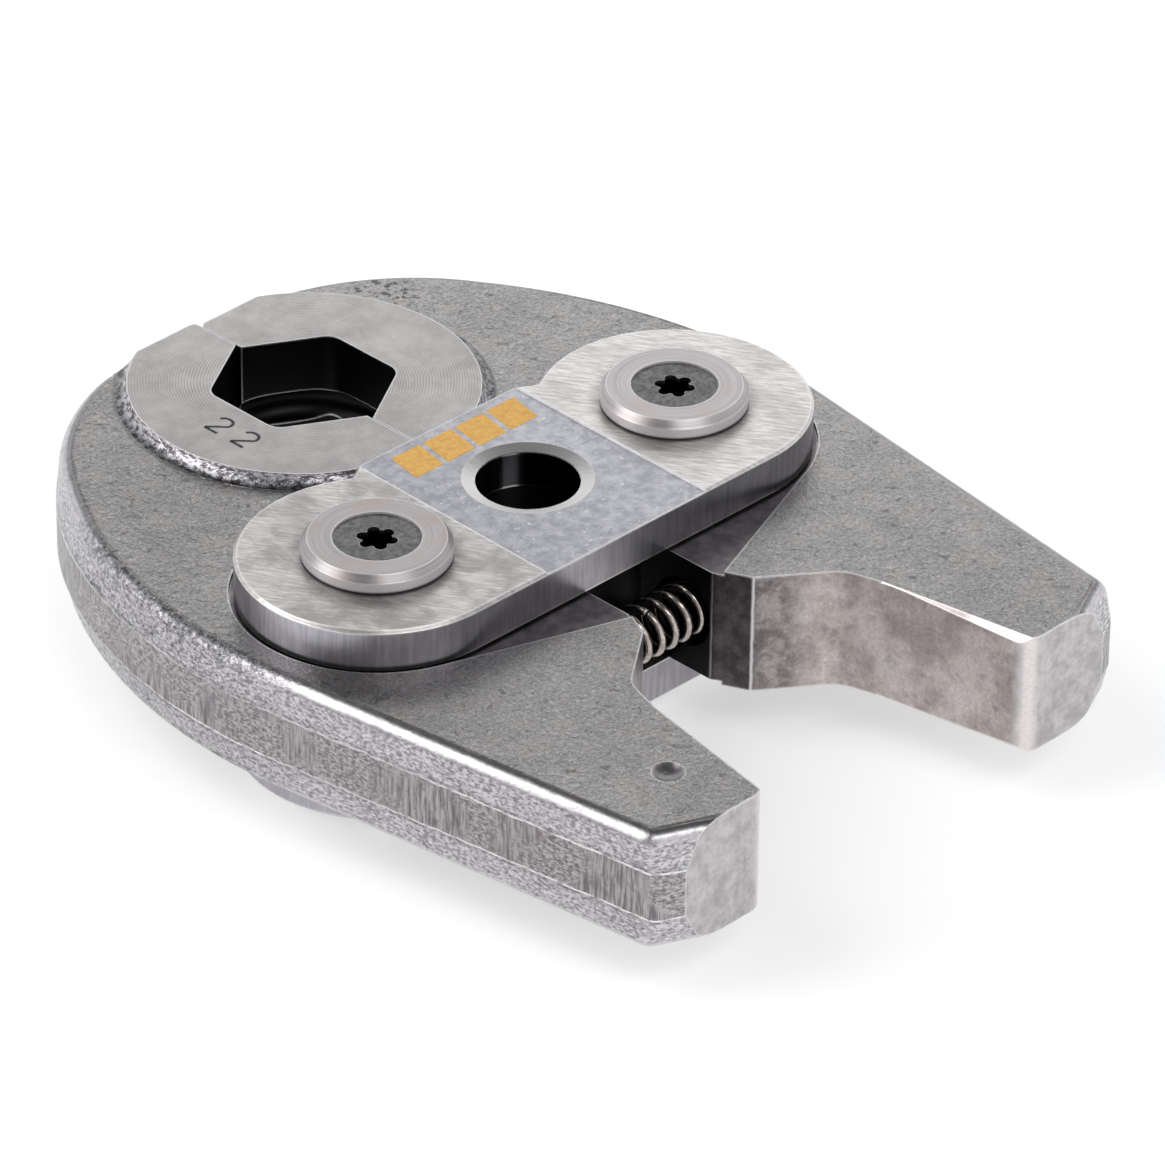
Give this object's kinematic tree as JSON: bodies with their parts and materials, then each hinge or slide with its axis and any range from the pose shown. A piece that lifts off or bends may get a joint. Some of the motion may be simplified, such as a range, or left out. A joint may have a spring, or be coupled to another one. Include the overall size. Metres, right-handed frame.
{
  "type": "press fitting tool jaw",
  "caption": "Scissor press jaw for crimping pipe fittings: forged levers between bolted side plates, closed by a spring, with a hexagonal pressing contour and a tool bolt bore",
  "frame": {"origin": "centre of the retaining bolt bore, half way between the two side plates", "axes": "+Z along the retaining bolt bore and the pivots, +Y towards the pressing contour, +X across the two levers"},
  "size_m": [0.1046, 0.1312, 0.0346],
  "materials": {
    "forged_jaw": "blasted forged steel, machined on the ring, the split and the tracks",
    "ground_plate": "ground steel with a bluish milled band",
    "pin_steel": "hardened and ground",
    "turned_disc": "turned, with a polished bevel",
    "dark_screw": "black oxide",
    "spring_steel": "drawn wire"
  },
  "bodies": {
    "side_plates": {"upper_side_plate": "ground_plate", "lower_side_plate": "ground_plate", "left_pivot_pin": "pin_steel", "right_pivot_pin": "pin_steel", "upper_left_cap_disc": "turned_disc", "lower_left_cap_disc": "turned_disc", "upper_right_cap_disc": "turned_disc", "lower_right_cap_disc": "turned_disc", "upper_left_cap_screw": "dark_screw", "lower_left_cap_screw": "dark_screw", "upper_right_cap_screw": "dark_screw", "lower_right_cap_screw": "dark_screw", "closing_spring": "spring_steel"},
    "left_jaw": {"left_jaw": "forged_jaw"},
    "right_jaw": {"right_jaw": "forged_jaw"}
  },
  "joints": [
    {"name": "left_jaw_pivot", "type": "hinge", "parent": "side_plates", "child": "left_jaw", "pos_m": [-0.0273, 0, 0], "axis": [0, 0, 1], "range_deg": [0, 16.5], "stiffness_Nm_per_rad": 1.2, "springref_deg": -11.46, "deforming": ["closing_spring"]},
    {"name": "right_jaw_pivot", "type": "hinge", "parent": "side_plates", "child": "right_jaw", "pos_m": [0.0273, 0, 0], "axis": [0, 0, -1], "range_deg": [0, 16.5], "stiffness_Nm_per_rad": 1.2, "springref_deg": -11.46, "deforming": ["closing_spring"]}
  ]
}
